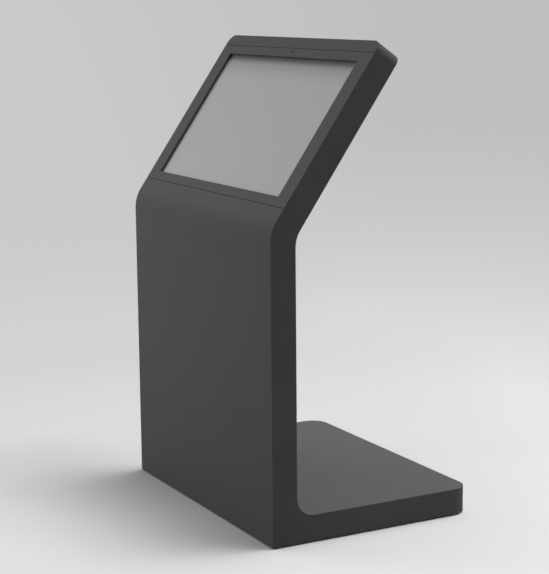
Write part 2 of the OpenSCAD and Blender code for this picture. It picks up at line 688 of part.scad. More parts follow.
module fan_housing(side) color("black") standing() at_head()
    translate([side * fan_x, rear_in, fan_s]) rotate([90, 0, 0]) {
        difference() {
            translate([-fan_size / 2, -fan_size / 2, 0]) cube([fan_size, fan_size, fan_t]);
            translate([0, 0, -over]) cylinder(r = fan_size / 2 - fan_wall, h = 2 * fan_t);
            for (a = [-1, 1], b = [-1, 1]) translate([a, b] * (fan_size / 2 - fan_hole_in))
                translate([0, 0, -over]) cylinder(r = fan_hole_r, h = 2 * fan_t);
        }
        translate([0, 0, fan_t - strut_t]) cylinder(r = hub_r, h = strut_t);
        for (a = [45:90:315]) rotate(a) translate([hub_r - over, -strut_w / 2, fan_t - strut_t])
            cube([fan_size / 2 - hub_r, strut_w, strut_t]);
        translate([0, 0, fan_shaft_low]) cylinder(r = fan_shaft_r, h = fan_t - fan_shaft_low - over);
    }
blades = 7;
blade_t = 1.2;
blade_pitch = 35;
rotor_low = 2;
rotor_l = fan_t - strut_t - rotor_low - fit;
blade_w = rotor_l - 2;
blade_l = fan_size / 2 - 2 * fan_wall - hub_r;
module fan_rotor(side) color("black") standing() at_head()
    translate([side * fan_x, rear_in, fan_s]) rotate([90, 0, 0]) difference() {
        union() {
            translate([0, 0, rotor_low]) cylinder(r = hub_r, h = rotor_l);
            for (i = [0:blades - 1]) rotate(i * 360 / blades)
                translate([hub_r - 2 * over, 0, rotor_low + rotor_l / 2]) rotate([blade_pitch, 0, 0])
                    translate([0, -blade_w / 2, -blade_t / 2]) cube([blade_l, blade_w, blade_t]);
        }
        translate([0, 0, fan_shaft_low - fit / 2]) cylinder(r = fan_shaft_r + run_fit, h = fan_t);
    }
module left_fan_housing() fan_housing(-1);
module right_fan_housing() fan_housing(1);
module left_fan_rotor() fan_rotor(-1);
module right_fan_rotor() fan_rotor(1);

// Mains inlet with its rocker switch, and network socket, in the rear end of the plinth
inlet_z = 41;
inlet_x = 0;
inlet_w = 48;
inlet_h = 28;
inlet_d = 32;
inlet_rim = 4;
rim_t = 2;
rocker_w = 22;
rocker_t = rocker_w / 2;
rocker_x = inlet_x + inlet_w / 2 + rocker_w + 6;
rocker_pin_r = 1.5;
rocker_pin_l = 3;
rocker_axis_in = 5;
net_w = 24;
net_h = 20;
net_d = 24;
net_rim = 3;
net_x = inlet_x - inlet_w / 2 - net_w - 2;
block_end = [inlet_x - inlet_w / 2, rocker_x + rocker_w / 2 + inlet_rim];
inlet_block_w = block_end[1] - block_end[0];
inlet_mid = (block_end[0] + block_end[1]) / 2;
inlet_cuts = [[inlet_mid, inlet_block_w, inlet_h], [net_x, net_w, net_h]];
// Bay for the mains plug, with three flat pins, and bay for the network plug with its latch slot
plug_bay = [24, 16, 17];
pin = [2, 14, 4];
pin_pitch = 7;
net_bay = [12, 14, 8];
latch_slot = [6, 14, 3];
module rimmed_block(w, h, d, rim) {
    translate([-w / 2 - rim, 0, -h / 2 - net_rim]) cube([w + 2 * rim, rim_t, h + 2 * net_rim]);
    translate([-w / 2 + near_fit, -d, -h / 2 + near_fit])
        cube([w - 2 * near_fit, d, h - 2 * near_fit]);
}
module bay(x, size) translate([x - size[0] / 2, -size[1], -size[2] / 2])
    cube([size[0], size[1] + rim_t + over, size[2]]);
module mains_inlet() color("black") standing() translate([0, base_d, inlet_z]) difference() {
    translate([inlet_mid, 0, 0]) rimmed_block(inlet_block_w, inlet_h, inlet_d, inlet_rim);
    difference() {
        bay(inlet_x, plug_bay);
        for (i = [-1, 0, 1]) translate([inlet_x + i * pin_pitch - pin[0] / 2, -plug_bay[1],
            i == 0 ? 0 : -pin[2]]) cube(pin);
    }
    bay(rocker_x, [rocker_t + 2 * near_fit, plug_bay[1] - rim_t, rocker_w]);
    translate([rocker_x - rocker_t / 2 - rocker_pin_l - over, -rocker_axis_in, 0]) rotate([0, 90, 0])
        cylinder(r = rocker_pin_r + run_fit, h = rocker_t + 2 * rocker_pin_l + 2 * over);
}
// The rocker's two faces slope away from each other, so that one end always stands out
rocker_outline = [[-3, -5], [-3, 5], [6, 8.5], [5.5, 0], [rocker_axis_in + switch_out, -8.2]];
module rocker_switch() color("black") standing()
    translate([rocker_x - rocker_t / 2, base_d - rocker_axis_in, inlet_z]) rotate([90, 0, 90]) {
        linear_extrude(rocker_t) polygon(rocker_outline);
        translate([0, 0, -rocker_pin_l]) cylinder(r = rocker_pin_r, h = rocker_t + 2 * rocker_pin_l);
    }
module network_socket() color("silver") standing() translate([net_x, base_d, inlet_z]) difference() {
    rimmed_block(net_w, net_h, net_d, net_rim);
    bay(0, net_bay);
    translate([0, 0, (net_bay[2] + latch_slot[2]) / 2 - over / 2]) bay(0, latch_slot);
}

// Cables: one swept tube along a route of points chosen by hand
cable_sides = 8;
function unit(v) = v / norm(v);
function lerp(a, b, t) = a + (b - a) * t;
// Smooth route: every inner point is rounded off by a quadratic curve
function round_corner(p, q, r, reach, n) = let (a = q + unit(p - q) * reach, b = q + unit(r - q) * reach)
    [for (i = [0:n]) lerp(lerp(a, q, i / n), lerp(q, b, i / n), i / n)];
function smooth_route(p, reach, n = 5) = [p[0],
    for (i = [1:len(p) - 2]) each round_corner(p[i - 1], p[i], p[i + 1], reach, n), p[len(p) - 1]];
function along_at(p, i) = unit(p[min(i + 1, len(p) - 1)] - p[max(i - 1, 0)]);
// The side vector starts square to the first stretch and is carried along, so the tube never twists
function carried(v, t) = unit(v - (v * t) * t);
function frames(p, i, v) = i == len(p) ? [] : let (s = carried(v, along_at(p, i)))
    concat([s], frames(p, i + 1, s));
module cable(route, r, reach, first) {
    p = smooth_route(route, reach);
    side = frames(p, 0, first);
    pts = [for (i = [0:len(p) - 1], k = [0:cable_sides - 1]) let (a = k * 360 / cable_sides)
        p[i] + r * (cos(a) * side[i] + sin(a) * cross(along_at(p, i), side[i]))];
    last = (len(p) - 1) * cable_sides;
    polyhedron(points = pts, faces = concat(
        [[for (k = [0:cable_sides - 1]) k]],
        [[for (k = [cable_sides - 1:-1:0]) last + k]],
        [for (i = [0:len(p) - 2], k = [0:cable_sides - 1]) let (a = i * cable_sides,
            b = (k + 1) % cable_sides) each [[a + k, a + k + cable_sides, a + b],
            [a + b, a + k + cable_sides, a + b + cable_sides]]]));
}
function in_head(x, depth, s) = [x, head_point(depth, s)[0], head_point(depth, s)[1]];
mains_cable_r = 4;
network_cable_r = 3;
display_cable_r = 3;
touch_cable_r = 2.2;
cable_bend = 18;
head_cable_bend = 14;
cable_floor = plate_low + plate_t + 6;
cable_rise = cable_floor + 40;
cable_y = kit_y + 16;
cable_straight = 40;
floor_spread = 60;
psu_low = psu_z - psu_h / 2;
pc_low = pc_z - pc_h / 2;
pc_top = pc_z + pc_h / 2;
over_door = door_low + door_h + 10;
board_y = display_back + board_gap + board_t + plug[1] / 2;
psu_cable_x = psu_x - 20;
network_cable_x = pc_x - 40;
display_cable_x = pc_x + 30;
touch_cable_x = pc_x + 70;
bend_depth = 45;
rail_pass = 52;
// Route from a socket along the base plate and up to a box on the tray
function floor_route(x0, d, z0, x1, low) = [[x0, base_d - d, z0], [x0, base_d - d - cable_straight, z0],
    [(x0 + x1) / 2, base_d / 2 + floor_spread, cable_floor], [x1, 2 * body_t, cable_floor],
    [x1, cable_y, cable_rise], [x1, cable_y, low]];
// Route from the computer's top over the bend and a rail to a plug on a board
function head_route(x0, x1, x2, size) = [[x0, cable_y, pc_top], [x0, cable_y, over_door],
    [x1, bend_depth, bend_z(bend_depth)], in_head(x1, rail_pass, rail_s[0] - rail_h),
    in_head((x1 + x2) / 2, rail_pass, rail_s[0] + rail_h), in_head(x2, board_y, screen_s - size[1]),
    in_head(x2, board_y, screen_s - size[1] / 2)];
module mains_cable() color("black") standing() cable(floor_route(inlet_mid, inlet_d,
    inlet_z - mains_cable_r, psu_cable_x, psu_low), mains_cable_r, cable_bend, [1, 0, 0]);
module network_cable() color("gray") standing() cable(floor_route(net_x, net_d,
    inlet_z - network_cable_r, network_cable_x, pc_low), network_cable_r, cable_bend, [1, 0, 0]);
module display_cable() color("black") standing() cable(head_route(display_cable_x,
    display_cable_x / 2, 0, driver_size), display_cable_r, head_cable_bend, [1, 0, 0]);
module touch_cable() color("black") standing() cable(head_route(touch_cable_x, touch_x - floor_spread,
    touch_x, touch_size), touch_cable_r, head_cable_bend, [1, 0, 0]);

front_skin();
left_side_panel();
right_side_panel();
display_frame();
head_top_cap();
base_cover();
base_plate();
column_rear_panel();
head_rear_cover();
left_upright();
right_upright();
service_door();
door_pivot_pins();
door_seal();
lock_housing();
lock_barrel();
glass_gasket();
touch_glass();
display_bezel();
display_cell();
display_chassis();
upper_display_rail();
lower_display_rail();
driver_board();
touch_controller();
camera_window();
camera_module();
equipment_tray();
computer();
power_button();
power_supply();
left_speaker();
right_speaker();
left_fan_housing();
right_fan_housing();
left_fan_rotor();
right_fan_rotor();
mains_inlet();
rocker_switch();
network_socket();
mains_cable();
network_cable();
display_cable();
touch_cable();
front_left_foot();
front_right_foot();
rear_left_foot();
rear_right_foot();
foot_nuts();
cover_screws();
frame_nuts();
upright_bolts();
tray_screws();
rail_screws();
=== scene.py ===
"""Looks of a floor-standing self-service kiosk: dark powder-coated sheet steel, a recessed light grey
screen, a service door and a ventilated cover at the back. Metres, with the origin on the floor."""

import math

import bmesh
import bpy
from mathutils import Matrix, Vector


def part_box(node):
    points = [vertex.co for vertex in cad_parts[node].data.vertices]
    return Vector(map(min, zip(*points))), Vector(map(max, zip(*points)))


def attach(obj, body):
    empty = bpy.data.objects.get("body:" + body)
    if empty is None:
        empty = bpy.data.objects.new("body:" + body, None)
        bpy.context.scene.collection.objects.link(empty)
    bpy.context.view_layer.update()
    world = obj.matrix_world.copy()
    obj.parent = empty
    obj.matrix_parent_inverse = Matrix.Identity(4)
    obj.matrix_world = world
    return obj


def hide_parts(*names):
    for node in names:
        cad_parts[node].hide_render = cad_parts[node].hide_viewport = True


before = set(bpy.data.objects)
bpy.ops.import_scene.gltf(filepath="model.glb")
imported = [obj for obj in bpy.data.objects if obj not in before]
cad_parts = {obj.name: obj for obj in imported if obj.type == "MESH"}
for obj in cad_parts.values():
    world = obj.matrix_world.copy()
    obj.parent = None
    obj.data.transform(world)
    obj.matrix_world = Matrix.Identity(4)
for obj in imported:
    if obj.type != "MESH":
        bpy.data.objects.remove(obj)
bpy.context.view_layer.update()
scene = bpy.context.scene


# Camera: level with the head, in front and to the right of the kiosk
def photo_camera(location, azimuth, elevation, roll, lens):
    a, e, r = (math.radians(angle) for angle in (azimuth, elevation, roll))
    back = Vector((math.sin(a) * math.cos(e), -math.cos(a) * math.cos(e), math.sin(e)))
    right = (-back).cross(Vector((0, 0, 1))).normalized()
    up = right.cross(-back)
    turned_right = right * math.cos(r) + up * math.sin(r)
    turned_up = up * math.cos(r) - right * math.sin(r)
    camera = bpy.data.objects.new("photo_camera", bpy.data.cameras.new("photo_camera"))
    scene.collection.objects.link(camera)
    camera.matrix_world = Matrix.Translation(location) @ Matrix(
        (turned_right, turned_up, back)).transposed().to_4x4()
    camera.data.lens = lens
    camera.data.sensor_width = 36
    scene.camera = camera


photo_camera((3.8616, -2.1520, 1.3761), azimuth=61.695, elevation=10.195, roll=-0.5339, lens=102.33)


# Directions. The head leans back: its face looks towards head_front and rises along up_slope
lean = math.radians(35)
head_front = Vector((0, -math.cos(lean), math.sin(lean)))
up_slope = Vector((0, math.sin(lean), math.cos(lean)))
upwards, downwards, rearwards = Vector((0, 0, 1)), Vector((0, 0, -1)), Vector((0, 1, 0))


# Finishes: each is a material that is built from nodes
class Value:
    """An output in a finish's nodes. Arithmetic on it adds the Math nodes."""

    def __init__(self, finish, socket):
        self.finish = finish
        self.socket = socket

    def maths(self, operation, *terms):
        return self.finish.node("Math", {"operation": operation}, dict(enumerate(terms)))

    def __add__(self, other):
        return self.maths("ADD", self, other)

    def __sub__(self, other):
        return self.maths("SUBTRACT", self, other)

    def __rsub__(self, other):
        return self.maths("SUBTRACT", other, self)

    def __mul__(self, other):
        return self.maths("MULTIPLY", self, other)

    def __truediv__(self, other):
        return self.maths("DIVIDE", self, other)

    def __rtruediv__(self, other):
        return self.maths("DIVIDE", other, self)

    def __pow__(self, other):
        return self.maths("POWER", self, other)

    def __rpow__(self, other):
        return self.maths("POWER", other, self)

    def __gt__(self, other):
        return self.maths("GREATER_THAN", self, other)

    def __lt__(self, other):
        return self.maths("LESS_THAN", self, other)

    __radd__ = __add__
    __rmul__ = __mul__


class Nodes:
    """The nodes of one material or of the studio light. node() adds one node."""

    def __init__(self, owner, place):
        owner.use_nodes = True
        self.tree = owner.node_tree
        self.tree.nodes.clear()
        self.place = self.node("TexCoord", output=place)

    def node(self, kind, settings=None, inputs=None, output=0):
        made = self.tree.nodes.new("ShaderNode" + kind)
        for name, value in (settings or {}).items():
            if name == "stops":
                self.set_stops(made.color_ramp, value)
            else:
                setattr(made, name, value)
        for name, value in (inputs or {}).items():
            if isinstance(value, Value):
                self.tree.links.new(value.socket, made.inputs[name])
            else:
                made.inputs[name].default_value = value
        return Value(self, made.outputs[output]) if made.outputs else None

    def dot(self, vector, towards):
        return self.node("VectorMath", {"operation": "DOT_PRODUCT"}, {0: vector, 1: towards}, output="Value")

    def distance(self, place):
        return self.node("VectorMath", {"operation": "DISTANCE"}, {0: self.place, 1: place}, output="Value")

    def ramp(self, value, *stops):
        """A level that follows the stops, each at one of the value's own numbers, such as metres."""
        low, high = stops[0][0], stops[-1][0]
        stops = [((at - low) / (high - low), level) for at, level in stops]
        return self.node("ValToRGB", {"stops": stops}, {"Fac": (value - low) / (high - low)})

    @staticmethod
    def set_stops(ramp, stops):
        while len(ramp.elements) < len(stops):
            ramp.elements.new(0.5)
        for element, (position, level) in zip(ramp.elements, stops):
            element.position = position
            element.color = (level, level, level, 1)


class Finish(Nodes):
    """A material that is built from nodes, and ended by surface()."""

    def __init__(self, name):
        self.material = bpy.data.materials.new(name)
        super().__init__(self.material, "Object")

    def noise(self, scale, detail=2.0, place=None):
        return self.node("TexNoise", {}, {"Vector": place or self.place, "Scale": scale, "Detail": detail})

    def cells(self, scale, place=None):
        return self.node("TexVoronoi", {}, {"Vector": place or self.place, "Scale": scale})

    def stretched(self, x, y, z):
        return self.node("VectorMath", {"operation": "MULTIPLY"}, {0: self.place, 1: (x, y, z)})

    def range(self, value, low, high):
        """A value from 0 to 1, spread from low to high."""
        return value * (high - low) + low

    def mixed(self, factor, first, second):
        return self.node("Mix", {"data_type": "RGBA"}, {0: factor, 6: first, 7: second}, output=2)

    def scaled(self, colour, factor):
        return self.node("VectorMath", {"operation": "SCALE"}, {0: colour, "Scale": factor})

    def softened_edges(self, radius):
        return self.node("Bevel", {"samples": 6}, {"Radius": radius})

    def painted_edge_highlight(self, softened):
        """1 along the edges that the softened normal rounds, and 0 on flat faces: the mask of a painted
        highlight.
        """
        flat = self.node("NewGeometry", output="Normal")
        return self.ramp(1 - self.dot(softened, flat), (0.0, 0.0), (0.12, 1.0))

    def relief(self, height, depth, normal=None):
        inputs = {"Height": height, "Distance": depth}
        if normal:
            inputs["Normal"] = normal
        return self.node("Bump", {}, inputs)

    def layer(self, **sockets):
        inputs = {name.replace("_", " "): value for name, value in sockets.items()}
        return self.node("BsdfPrincipled", {}, inputs)

    def shown(self, shader):
        self.node("OutputMaterial", {}, {"Surface": shader})
        return self.material

    def surface(self, **sockets):
        return self.shown(self.layer(**sockets))


def powder_coat(name, colour, texture):
    """Fine-textured powder paint on steel, with softened edges and a painted highlight that makes them
    slightly lighter.
    """
    f = Finish(name)
    soft = f.softened_edges(0.0016)
    grain = f.noise(1100, 3)
    waves = f.noise(5, 3)
    # The edges are made 30 % lighter: a painted highlight.
    level = f.range(grain, 0.84, 1.16) * f.range(waves, 0.94, 1.06) * (1 + f.painted_edge_highlight(soft) * 0.3)
    return f.surface(
        Base_Color=f.scaled(colour, level),
        Roughness=f.range(grain, 0.66, 0.78),
        Specular_IOR_Level=0.2,
        Normal=f.relief(grain, texture, soft))


def zinc_plate(name, colour, along):
    """Zinc-plated sheet: faint rolling lines, cloudy patches and a dull shine."""
    f = Finish(name)
    lines = f.noise(90, 4, f.stretched(*along))
    clouds = f.noise(14, 4)
    level = f.range(lines, 0.88, 1.08) * f.range(clouds, 0.82, 1.14)
    return f.surface(
        Base_Color=f.scaled(colour, level),
        Metallic=0.85,
        Roughness=f.range(clouds, 0.34, 0.52),
        Normal=f.relief(lines, 0.00003, f.softened_edges(0.0006)))


def plated_steel(name, colour, rough):
    """Small turned or pressed steel pieces with a bright plating."""
    f = Finish(name)
    spots = f.noise(260, 4)
    return f.surface(
        Base_Color=f.scaled(colour, f.range(spots, 0.85, 1.1)),
        Metallic=0.95,
        Roughness=f.range(spots, rough, rough + 0.16),
        Normal=f.relief(spots, 0.00002, f.softened_edges(0.0004)))


def cover_glass(name):
    """Anti-glare glass on the unlit display: an even grey, with a painted shadow of the window's upper edge,
    a soft dark band along the glass's upper edge.
    """
    f = Finish(name)
    upper_edge = max(corner.co.dot(up_slope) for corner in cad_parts["touch_glass"].data.vertices)
    below_edge = upper_edge - f.dot(f.place, up_slope)
    # Painted shadow: the glass darkens towards the window's upper edge, as if that edge shaded it.
    painted_edge_shadow = f.ramp(below_edge, (0.016, 0.28), (0.0192, 0.36), (0.0224, 0.48), (0.0264, 0.63),
        (0.032, 0.77), (0.044, 0.83), (0.06, 0.92), (0.08, 1.0))
    etch = f.noise(900, 2)
    smears = f.noise(7, 4)
    haze = f.noise(2.5, 2)
    return f.surface(
        Base_Color=f.scaled((0.555, 0.555, 0.553), f.range(haze, 0.985, 1.015) * painted_edge_shadow),
        Roughness=0.5,
        Specular_IOR_Level=0.2,
        Coat_Weight=0.35,
        Coat_Roughness=0.22,
        Normal=f.relief(etch + smears * 0.5, 0.000006))


def display_panel(name):
    """Face of the unlit display, with its fine grid of picture rows and columns."""
    f = Finish(name)
    fineness = 550.0
    columns = f.node("TexWave", {"bands_direction": "X"}, {"Vector": f.place, "Scale": fineness})
    rows = f.node("TexWave", {"bands_direction": "Z"}, {"Vector": f.place, "Scale": fineness})
    level = f.range(columns, 0.96, 1.0) * f.range(rows, 0.96, 1.0)
    return f.surface(Base_Color=f.scaled((0.6, 0.6, 0.598), level), Roughness=0.55)


def moulded_plastic(name, colour, rough):
    """Injection-moulded plastic with a spark-eroded grain."""
    f = Finish(name)
    grain = f.noise(1100, 3)
    sheen = f.noise(25, 2)
    return f.surface(
        Base_Color=f.scaled(colour, f.range(grain, 0.85, 1.15)),
        Roughness=f.range(sheen, rough - 0.05, rough + 0.08),
        Normal=f.relief(grain, 0.00004, f.softened_edges(0.0007)))


def soft_rubber(name, colour):
    """Matt rubber or soft vinyl, slightly mottled."""
    f = Finish(name)
    grain = f.noise(700, 4)
    bloom = f.noise(30, 3)
    return f.surface(
        Base_Color=f.scaled(colour, f.range(bloom, 0.8, 1.3)),
        Roughness=f.range(grain, 0.68, 0.85),
        Normal=f.relief(grain, 0.00005, f.softened_edges(0.0005)))


def open_foam(name):
    """Open-celled sealing foam."""
    f = Finish(name)
    holes = f.cells(800)
    return f.surface(
        Base_Color=f.scaled((0.06, 0.06, 0.062), f.range(holes, 0.5, 1.5)),
        Roughness=0.95,
        Normal=f.relief(holes, 0.0003))


def circuit_board(name):
    """Green solder mask with paler copper tracks and tinned pads."""
    f = Finish(name)
    tracks = f.node("TexBrick", {"offset": 0.37, "squash": 0.6}, {
        "Vector": f.place, "Scale": 60.0, "Mortar Size": 0.012, "Color1": (0.018, 0.12, 0.05, 1),
        "Color2": (0.02, 0.14, 0.06, 1), "Mortar": (0.05, 0.24, 0.1, 1)})
    pad_size = 0.12
    pads = f.cells(230) < pad_size
    return f.surface(
        Base_Color=f.mixed(pads, tracks, (0.6, 0.58, 0.5, 1)),
        Metallic=pads,
        Roughness=f.range(pads, 0.35, 0.25),
        Normal=f.relief(tracks, 0.00004))


def satin_aluminium(name, colour):
    """Extruded or pressed aluminium with drawn lines."""
    f = Finish(name)
    lines = f.noise(160, 3, f.stretched(0.04, 1, 1))
    return f.surface(
        Base_Color=f.scaled(colour, f.range(lines, 0.85, 1.12)),
        Metallic=0.9,
        Roughness=f.range(lines, 0.32, 0.46),
        Normal=f.relief(lines, 0.00002, f.softened_edges(0.0007)))


def levelling_foot(name):
    """Rubber pad below, zinc-plated hexagon and stud above."""
    f = Finish(name)
    pad_top = 0.0081
    metal = f.dot(f.place, upwards) > pad_top
    grain = f.noise(600, 3)
    return f.surface(
        Base_Color=f.mixed(metal, (0.025, 0.025, 0.027, 1), (0.55, 0.56, 0.57, 1)),
        Metallic=metal,
        Roughness=f.range(metal, 0.75, 0.35) * f.range(grain, 0.9, 1.1),
        Normal=f.relief(grain, 0.00003, f.softened_edges(0.0006)))


def coated_lens(name):
    """Small dark camera lens with a violet coating."""
    f = Finish(name)
    bloom = f.noise(400, 2)
    return f.surface(
        Base_Color=f.scaled((0.012, 0.01, 0.02), f.range(bloom, 0.8, 1.2)),
        Roughness=0.06,
        Coat_Weight=1.0,
        Normal=f.relief(bloom, 0.000002))


shell_paint = powder_coat("shell_powder_coat", (0.108, 0.107, 0.106), 0.00035)
inner_zinc = zinc_plate("zinc_plated_sheet", (0.52, 0.53, 0.54), (1, 1, 0.05))
screw_zinc = plated_steel("zinc_plated_screws", (0.6, 0.6, 0.59), 0.25)
lock_chrome = plated_steel("lock_chrome", (0.72, 0.72, 0.73), 0.08)
screen_glass = cover_glass("anti_glare_cover_glass")
screen_grey = display_panel("display_grey")
black_plastic = moulded_plastic("black_moulded_plastic", (0.028, 0.028, 0.03), 0.45)
lead_vinyl = soft_rubber("black_lead_vinyl", (0.03, 0.03, 0.032))
grey_vinyl = soft_rubber("grey_lead_vinyl", (0.2, 0.2, 0.2))
gasket_rubber = soft_rubber("gasket_rubber", (0.025, 0.025, 0.027))
seal_foam = open_foam("door_seal_foam")
green_board = circuit_board("green_circuit_board")
box_aluminium = satin_aluminium("equipment_aluminium", (0.32, 0.32, 0.33))
dark_aluminium = satin_aluminium("display_aluminium", (0.2, 0.2, 0.205))
foot_finish = levelling_foot("foot_rubber_and_zinc")
lens_glass = coated_lens("coated_camera_lens")

finish_of = {
    shell_paint: ["front_skin", "left_side_panel", "right_side_panel", "display_frame", "head_top_cap",
        "base_cover", "column_rear_panel", "head_rear_cover", "service_door"],
    inner_zinc: ["base_plate", "left_upright", "right_upright", "upper_display_rail",
        "lower_display_rail", "equipment_tray"],
    screw_zinc: ["door_pivot_pins", "foot_nuts", "cover_screws", "frame_nuts", "upright_bolts",
        "tray_screws", "rail_screws"],
    lock_chrome: ["lock_housing", "lock_barrel"],
    screen_glass: ["touch_glass"],
    screen_grey: ["display_cell"],
    black_plastic: ["display_bezel", "camera_window", "camera_module", "power_button", "left_speaker",
        "right_speaker", "left_fan_housing", "right_fan_housing", "left_fan_rotor", "right_fan_rotor",
        "mains_inlet", "rocker_switch", "network_socket"],
    lead_vinyl: ["mains_cable", "display_cable"],
    grey_vinyl: ["network_cable", "touch_cable"],
    gasket_rubber: ["glass_gasket"],
    seal_foam: ["door_seal"],
    green_board: ["driver_board", "touch_controller"],
    box_aluminium: ["computer", "power_supply"],
    dark_aluminium: ["display_chassis"],
    foot_finish: ["front_left_foot", "front_right_foot", "rear_left_foot", "rear_right_foot"],
}
for finish, names in finish_of.items():
    for name in names:
        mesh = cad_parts[name].data
        mesh.materials.clear()
        mesh.materials.append(finish)


# Outlines for the fittings made here: they have equally many points, so that one can be lofted to another.
# Outlines and the heights of their rings are in millimetres, and places are in metres.
ring_points = 24
around = [2 * math.pi * i / ring_points for i in range(ring_points)]


def at_angles(radii):
    return [(r * math.cos(t), r * math.sin(t)) for r, t in zip(radii, around)]


def circle(radius):
    return at_angles([radius] * ring_points)


def hexagon(across):
    side = math.pi / 3
    return at_angles(across / 2 / math.cos((t + side / 2) % side - side / 2) for t in around)


def knurled(radius, groove=0.35):
    return at_angles((radius, radius - groove) * (ring_points // 2))


def rounded(width, depth, corner):
    """A rectangle with rounded corners."""
    corner_points = ring_points // 4
    points = []
    for quarter, (sx, sy) in enumerate(((1, 1), (-1, 1), (-1, -1), (1, -1))):
        for step in range(corner_points):
            t = math.pi / 2 * (quarter + step / (corner_points - 1))
            points.append((sx * (width / 2 - corner) + corner * math.cos(t),
                sy * (depth / 2 - corner) + corner * math.sin(t)))
    return points


def half_circle(radius, height):
    return [(radius * math.cos(t), height + radius * math.sin(t)) for t in around[:ring_points // 2 + 1]]


class Fitting:
    """A piece of one or more closed meshes, each lofted through rings of points."""

    def __init__(self, name, finish, slot):
        self.name = name
        self.finish = finish
        self.slot = slot
        self.build = bmesh.new()

    def loft(self, place, towards, *rings):
        """Each ring is an outline with its height. Heights go towards, and an outline's X goes along X."""
        millimetre = 0.001
        z = Vector(towards).normalized()
        x = Vector((1, 0, 0))
        turn = Matrix((x, z.cross(x), z)).transposed() * millimetre
        loops = [[self.build.verts.new(Vector(place) + turn @ Vector((px, py, height))) for px, py in outline]
            for outline, height in rings]
        for low, high in zip(loops, loops[1:]):
            for i in range(len(low)):
                self.build.faces.new((low[i - 1], low[i], high[i], high[i - 1]))
        self.build.faces.new(reversed(loops[0]))
        self.build.faces.new(loops[-1])

    def screw(self, place, towards, key, *shape):
        """A screw with a hexagon socket. The shape is pairs of radius and height, from the top to the tip."""
        top = shape[0][1]
        socket_floor, drill_tip = top - 0.6 * key, top - 0.8 * key
        self.loft(place, towards, (circle(0.1), drill_tip), (hexagon(key), socket_floor),
            (hexagon(key), top), *[(circle(radius), height) for radius, height in shape])

    def fitted(self, replaced=None):
        bmesh.ops.recalc_face_normals(self.build, faces=self.build.faces)
        mesh = bpy.data.meshes.new(self.name)
        self.build.to_mesh(mesh)
        self.build.free()
        mesh.materials.append(self.finish)
        for face in mesh.polygons:
            face.use_smooth = True
        mesh.set_sharp_from_angle(angle=math.radians(32))
        piece = bpy.data.objects.new(self.name, mesh)
        scene.collection.objects.link(piece)
        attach(piece, "kiosk")
        if replaced:
            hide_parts(replaced)


def middle_of(points):
    return sum(points, Vector()) / len(points)


def end_ring(points, towards):
    """The points that lie farthest towards."""
    farthest = max(point.dot(towards) for point in points)
    return [point for point in points if point.dot(towards) > farthest - 0.0001]


def separate_solids(node):
    """The points of each solid of a CAD node."""
    build = bmesh.new()
    build.from_mesh(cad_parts[node].data)
    unseen = set(build.verts)
    solids = []
    while unseen:
        reached = [unseen.pop()]
        for vert in reached:
            for other in (edge.other_vert(vert) for edge in vert.link_edges):
                if other in unseen:
                    unseen.remove(other)
                    reached.append(other)
        solids.append([vert.co.copy() for vert in reached])
    build.free()
    return solids


def cover_screws():
    """Countersunk screws of the rear cover, each with its socket and thread."""
    screws = Fitting("countersunk_cover_screws", screw_zinc, "fasteners")
    crest, thread_depth, half_pitch = 1.95, 0.35, 0.3
    thread = [(crest - thread_depth * (i % 2), -2.2 - half_pitch * i) for i in range(19)]
    for points in separate_solids("cover_screws"):
        head = middle_of(end_ring(points, -head_front))
        screws.screw(head, -head_front, 2.5,
            (3.7, -0.05), (3.95, -0.25), (crest, -2.15), *thread, (0.9, -7.9))
    screws.fitted("cover_screws")


def camera_lens():
    """Ring and small domed lens in the aperture above the screen."""
    low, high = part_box("camera_window")
    middle = (low + high) / 2
    lens_radius, dome, seat = 2.0, 0.5, -0.3
    ring = Fitting("camera_ring", black_plastic, "black_plastic")
    ring.loft(middle, head_front, *[(circle(radius), height) for radius, height in (
        (lens_radius, -0.5), (3.9, -0.5), (4.0, -0.4), (4.0, 0.4), (3.9, 0.5), (2.5, 0.5), (2.2, 0.3),
        (lens_radius, seat))])
    ring.fitted("camera_window")
    lens = Fitting("camera_lens", lens_glass, "black_plastic")
    lens.loft(middle, head_front, *[(circle(lens_radius * math.cos(t)), dome * math.sin(t) + seat)
        for t in (-0.3, 0.0, 0.3, 0.6, 0.9, 1.2, 1.5)])
    lens.fitted()


# Leads: the way the lead goes into the computer or the power supply, its radius, and its clip's height
leads = {
    "mains_cable": (upwards, 4, 0.25),
    "network_cable": (upwards, 3, 0.25),
    "display_cable": (downwards, 3, 0.59),
    "touch_cable": (downwards, 2.2, 0.59),
}
tray_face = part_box("computer")[0].y


def lead_end(lead):
    """The middle of the end that goes into the computer or the power supply."""
    towards = leads[lead][0]
    return middle_of(end_ring([corner.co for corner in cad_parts[lead].data.vertices], towards))


def lead_plug(name, lead, *sections):
    """Plug body of rounded sections, then a ribbed boot that tapers down to the lead."""
    plug = Fitting(name, black_plastic, "black_plastic")
    rings = [(rounded(width, depth, corner), height) for width, depth, corner, height in sections]
    towards, radius, _ = leads[lead]
    body, start = sections[-1][1], sections[-1][3]
    ribs, pitch, collar = 5, 3.2, 2 * radius + 1.2
    for i in range(ribs):
        rib = body + (collar - body) * i / ribs
        for size, height in ((rib, 0.3), (rib, 1.7), (collar, 2.0), (collar, 3.0)):
            rings.append((rounded(size, size, size / 2 - 0.1), start + pitch * i + height))
    plug.loft(lead_end(lead), -towards, *rings)
    plug.fitted()


